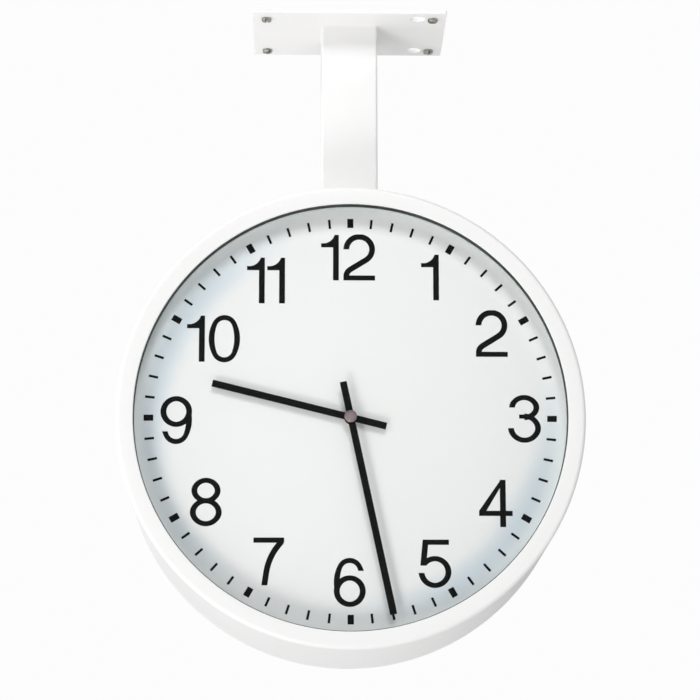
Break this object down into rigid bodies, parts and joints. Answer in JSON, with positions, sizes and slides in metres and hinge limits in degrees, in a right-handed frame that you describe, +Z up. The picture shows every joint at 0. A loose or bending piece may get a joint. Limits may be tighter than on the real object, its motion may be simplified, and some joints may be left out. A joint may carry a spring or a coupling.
{
  "type": "double sided clock",
  "caption": "Ceiling hung double sided round clock: sheet case with a dial, glass, hands and quartz movement on each side, on a square arm.",
  "frame": {"origin": "centre of the ceiling plate's top face, in the middle of its four fixing screws", "axes": "+Z up into the ceiling, +X to the right for someone facing the front dial, which looks along -Y"},
  "size_m": [0.4, 0.158, 0.573],
  "materials": {
    "white_paint": "satin white powder coat, very fine texture",
    "bright_steel": "bright zinc plated",
    "zinc_steel": "zinc plated sheet and bolts",
    "spring_steel": "spring strip",
    "glass": "clear flat float glass, faint green edge",
    "seal_rubber": "matt black",
    "white_plastic": "matt white",
    "dial_white": "matt white lacquer",
    "dial_ink": "screen printed matt black ink",
    "hand_black": "matt black lacquer",
    "smoked_clear": "smoked clear, polished",
    "black_nut": "black anodised",
    "brass": "turned",
    "black_plastic": "moulded, fine spark texture",
    "gear_plastic": "moulded acetal",
    "battery_wrap": "plain sleeve",
    "copper_wire": "enamelled copper winding",
    "iron": "soft iron sheet",
    "circuit_green": "solder mask",
    "magnet": "sintered magnet"
  },
  "bodies": {
    "clock": {"arm_bolts": "zinc_steel", "arm_foot": "zinc_steel", "arm_nuts": "zinc_steel", "battery_contacts": "spring_steel", "bezel_clips": "spring_steel", "case_drum": "white_paint", "ceiling_plate": "white_paint", "ceiling_screws": "bright_steel", "dial_mount_rings": "zinc_steel", "front_battery": "battery_wrap", "front_bezel": "white_paint", "front_circuit_board": "circuit_green", "front_coil": "copper_wire", "front_dial": "dial_white", "front_dial_print": "dial_ink", "front_glass": "glass", "front_glass_seal": "seal_rubber", "front_movement_cover": "black_plastic", "front_movement_housing": "black_plastic", "front_spacer_ring": "white_plastic", "front_stator": "iron", "rear_battery": "battery_wrap", "rear_bezel": "white_paint", "rear_circuit_board": "circuit_green", "rear_coil": "copper_wire", "rear_dial": "dial_white", "rear_dial_print": "dial_ink", "rear_glass": "glass", "rear_glass_seal": "seal_rubber", "rear_movement_cover": "black_plastic", "rear_movement_housing": "black_plastic", "rear_spacer_ring": "white_plastic", "rear_stator": "iron", "saddle_bracket": "zinc_steel", "shaft_gaskets": "seal_rubber", "shaft_nuts": "black_nut", "shaft_washers": "brass", "suspension_arm": "white_paint"},
    "front_minute_body": {"front_minute_arbor": "brass", "front_minute_hand": "hand_black", "front_hand_cap": "smoked_clear"},
    "front_hour_body": {"front_hour_wheel": "gear_plastic", "front_hour_hand": "hand_black"},
    "front_minute_wheel_body": {"front_minute_wheel": "gear_plastic"},
    "front_setting_body": {"front_setting_knob": "black_plastic"},
    "front_centre_wheel_body": {"front_centre_wheel": "gear_plastic"},
    "front_intermediate_wheel_body": {"front_intermediate_wheel": "gear_plastic"},
    "front_rotor_body": {"front_rotor": "magnet"},
    "rear_minute_body": {"rear_minute_arbor": "brass", "rear_minute_hand": "hand_black", "rear_hand_cap": "smoked_clear"},
    "rear_hour_body": {"rear_hour_wheel": "gear_plastic", "rear_hour_hand": "hand_black"},
    "rear_minute_wheel_body": {"rear_minute_wheel": "gear_plastic"},
    "rear_setting_body": {"rear_setting_knob": "black_plastic"},
    "rear_centre_wheel_body": {"rear_centre_wheel": "gear_plastic"},
    "rear_intermediate_wheel_body": {"rear_intermediate_wheel": "gear_plastic"},
    "rear_rotor_body": {"rear_rotor": "magnet"}
  },
  "joints": [
    {"name": "front_minute_spin", "type": "hinge", "parent": "clock", "child": "front_minute_body", "pos_m": [0, -0.05, -0.369], "axis": [0, 1, 0], "continuous": true},
    {"name": "front_hour_spin", "type": "hinge", "parent": "clock", "child": "front_hour_body", "pos_m": [0, -0.05, -0.369], "axis": [0, 1, 0], "continuous": true},
    {"name": "front_minute_wheel_spin", "type": "hinge", "parent": "clock", "child": "front_minute_wheel_body", "pos_m": [-0.00758, -0.05, -0.36462], "axis": [0, 1, 0], "continuous": true},
    {"name": "front_setting_spin", "type": "hinge", "parent": "clock", "child": "front_setting_body", "pos_m": [-0.01516, -0.05, -0.36025], "axis": [0, 1, 0], "continuous": true},
    {"name": "front_centre_wheel_spin", "type": "hinge", "parent": "clock", "child": "front_centre_wheel_body", "pos_m": [0, -0.05, -0.369], "axis": [0, 1, 0], "continuous": true},
    {"name": "front_intermediate_wheel_spin", "type": "hinge", "parent": "clock", "child": "front_intermediate_wheel_body", "pos_m": [0.0124, -0.05, -0.36449], "axis": [0, 1, 0], "continuous": true},
    {"name": "front_rotor_spin", "type": "hinge", "parent": "clock", "child": "front_rotor_body", "pos_m": [0.01883, -0.05, -0.35682], "axis": [0, 1, 0], "continuous": true},
    {"name": "rear_minute_spin", "type": "hinge", "parent": "clock", "child": "rear_minute_body", "pos_m": [0, 0.05, -0.369], "axis": [0, -1, 0], "continuous": true},
    {"name": "rear_hour_spin", "type": "hinge", "parent": "clock", "child": "rear_hour_body", "pos_m": [0, 0.05, -0.369], "axis": [0, -1, 0], "continuous": true},
    {"name": "rear_minute_wheel_spin", "type": "hinge", "parent": "clock", "child": "rear_minute_wheel_body", "pos_m": [0.00758, 0.05, -0.36462], "axis": [0, -1, 0], "continuous": true},
    {"name": "rear_setting_spin", "type": "hinge", "parent": "clock", "child": "rear_setting_body", "pos_m": [0.01516, 0.05, -0.36025], "axis": [0, -1, 0], "continuous": true},
    {"name": "rear_centre_wheel_spin", "type": "hinge", "parent": "clock", "child": "rear_centre_wheel_body", "pos_m": [0, 0.05, -0.369], "axis": [0, -1, 0], "continuous": true},
    {"name": "rear_intermediate_wheel_spin", "type": "hinge", "parent": "clock", "child": "rear_intermediate_wheel_body", "pos_m": [-0.0124, 0.05, -0.36449], "axis": [0, -1, 0], "continuous": true},
    {"name": "rear_rotor_spin", "type": "hinge", "parent": "clock", "child": "rear_rotor_body", "pos_m": [-0.01883, 0.05, -0.35682], "axis": [0, -1, 0], "continuous": true}
  ],
  "couplings": [
    {"joint": "front_hour_spin", "follows": "front_minute_spin", "ratio": 0.083333},
    {"joint": "front_minute_wheel_spin", "follows": "front_minute_spin", "ratio": -0.33333},
    {"joint": "front_setting_spin", "follows": "front_minute_spin", "ratio": 1},
    {"joint": "front_centre_wheel_spin", "follows": "front_minute_spin", "ratio": 1},
    {"joint": "front_intermediate_wheel_spin", "follows": "front_minute_spin", "ratio": -10},
    {"joint": "front_rotor_spin", "follows": "front_minute_spin", "ratio": 90},
    {"joint": "rear_hour_spin", "follows": "rear_minute_spin", "ratio": 0.083333},
    {"joint": "rear_minute_wheel_spin", "follows": "rear_minute_spin", "ratio": -0.33333},
    {"joint": "rear_setting_spin", "follows": "rear_minute_spin", "ratio": 1},
    {"joint": "rear_centre_wheel_spin", "follows": "rear_minute_spin", "ratio": 1},
    {"joint": "rear_intermediate_wheel_spin", "follows": "rear_minute_spin", "ratio": -10},
    {"joint": "rear_rotor_spin", "follows": "rear_minute_spin", "ratio": 90}
  ]
}
